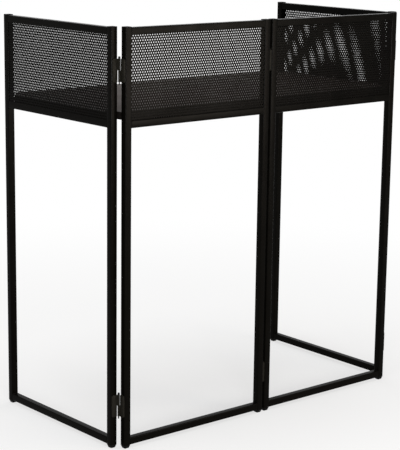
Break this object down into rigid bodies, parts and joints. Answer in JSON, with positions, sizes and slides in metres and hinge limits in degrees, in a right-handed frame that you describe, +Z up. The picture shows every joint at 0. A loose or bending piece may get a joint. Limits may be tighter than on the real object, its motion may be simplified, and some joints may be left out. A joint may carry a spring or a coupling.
{
  "type": "dj booth",
  "caption": "Free-standing folding booth: hinged square-tube panels in a U with perforated guards round a loose shelf for playing equipment, open at the back.",
  "frame": {"origin": "on the floor, midway between the wings and midway between front and back", "axes": "+Z up, +X to the right along the front, +Y from the front to the open back"},
  "size_m": [1.06, 0.5264, 1.131],
  "materials": {
    "frame_powder_coat": "satin black powder coat on steel tube",
    "sheet_powder_coat": "satin black powder coat on perforated steel",
    "hinge_finish": "black paint over welded steel",
    "pin_finish": "blackened steel",
    "cap_plastic": "moulded black plastic",
    "foot_plastic": "moulded black plastic",
    "shelf_laminate": "satin dark laminate on board"
  },
  "bodies": {
    "front": {"front_left_corner_upright": "frame_powder_coat", "front_left_centre_upright": "frame_powder_coat", "front_left_top_rail": "frame_powder_coat", "front_left_shelf_rail": "frame_powder_coat", "front_left_bottom_rail": "frame_powder_coat", "front_left_perforated_sheet": "sheet_powder_coat", "front_left_tube_caps": "cap_plastic", "front_left_feet": "foot_plastic", "front_right_centre_upright": "frame_powder_coat", "front_right_corner_upright": "frame_powder_coat", "front_right_top_rail": "frame_powder_coat", "front_right_shelf_rail": "frame_powder_coat", "front_right_bottom_rail": "frame_powder_coat", "front_right_perforated_sheet": "sheet_powder_coat", "front_right_tube_caps": "cap_plastic", "front_right_feet": "foot_plastic", "left_corner_upper_hinge_front_leaf": "hinge_finish", "left_corner_lower_hinge_front_leaf": "hinge_finish", "right_corner_upper_hinge_front_leaf": "hinge_finish", "right_corner_lower_hinge_front_leaf": "hinge_finish", "centre_upper_hinge_left_leaf": "hinge_finish", "centre_lower_hinge_left_leaf": "hinge_finish", "centre_upper_hinge_right_leaf": "hinge_finish", "centre_lower_hinge_right_leaf": "hinge_finish"},
    "left_wing": {"left_wing_rear_upright": "frame_powder_coat", "left_wing_front_upright": "frame_powder_coat", "left_wing_top_rail": "frame_powder_coat", "left_wing_shelf_rail": "frame_powder_coat", "left_wing_bottom_rail": "frame_powder_coat", "left_wing_perforated_sheet": "sheet_powder_coat", "left_wing_tube_caps": "cap_plastic", "left_wing_feet": "foot_plastic", "left_corner_upper_hinge_wing_leaf": "hinge_finish", "left_corner_lower_hinge_wing_leaf": "hinge_finish"},
    "right_wing": {"right_wing_front_upright": "frame_powder_coat", "right_wing_rear_upright": "frame_powder_coat", "right_wing_top_rail": "frame_powder_coat", "right_wing_shelf_rail": "frame_powder_coat", "right_wing_bottom_rail": "frame_powder_coat", "right_wing_perforated_sheet": "sheet_powder_coat", "right_wing_tube_caps": "cap_plastic", "right_wing_feet": "foot_plastic", "right_corner_upper_hinge_wing_leaf": "hinge_finish", "right_corner_lower_hinge_wing_leaf": "hinge_finish"},
    "shelf": {"shelf_board": "shelf_laminate"},
    "left_corner_upper_pin": {"left_corner_upper_hinge_pin": "pin_finish"},
    "left_corner_lower_pin": {"left_corner_lower_hinge_pin": "pin_finish"},
    "centre_upper_pin": {"centre_upper_hinge_pin": "pin_finish"},
    "centre_lower_pin": {"centre_lower_hinge_pin": "pin_finish"},
    "right_corner_upper_pin": {"right_corner_upper_hinge_pin": "pin_finish"},
    "right_corner_lower_pin": {"right_corner_lower_hinge_pin": "pin_finish"}
  },
  "joints": [
    {"name": "left_wing_swing", "type": "hinge", "parent": "front", "child": "left_wing", "pos_m": [-0.507, -0.24025, 0], "axis": [0, 0, 1], "range_deg": [0, 90]},
    {"name": "right_wing_swing", "type": "hinge", "parent": "front", "child": "right_wing", "pos_m": [0.507, -0.24025, 0], "axis": [0, 0, -1], "range_deg": [0, 90]},
    {"name": "shelf_lift", "type": "slide", "parent": "front", "child": "shelf", "axis": [0, 0, 1], "range_m": [0, 0.195]},
    {"name": "left_corner_upper_pin_pull", "type": "slide", "parent": "front", "child": "left_corner_upper_pin", "axis": [0, 0, 1], "range_m": [0, 0.07]},
    {"name": "left_corner_lower_pin_pull", "type": "slide", "parent": "front", "child": "left_corner_lower_pin", "axis": [0, 0, 1], "range_m": [0, 0.07]},
    {"name": "centre_upper_pin_pull", "type": "slide", "parent": "front", "child": "centre_upper_pin", "axis": [0, 0, 1], "range_m": [0, 0.07]},
    {"name": "centre_lower_pin_pull", "type": "slide", "parent": "front", "child": "centre_lower_pin", "axis": [0, 0, 1], "range_m": [0, 0.07]},
    {"name": "right_corner_upper_pin_pull", "type": "slide", "parent": "front", "child": "right_corner_upper_pin", "axis": [0, 0, 1], "range_m": [0, 0.07]},
    {"name": "right_corner_lower_pin_pull", "type": "slide", "parent": "front", "child": "right_corner_lower_pin", "axis": [0, 0, 1], "range_m": [0, 0.07]}
  ]
}
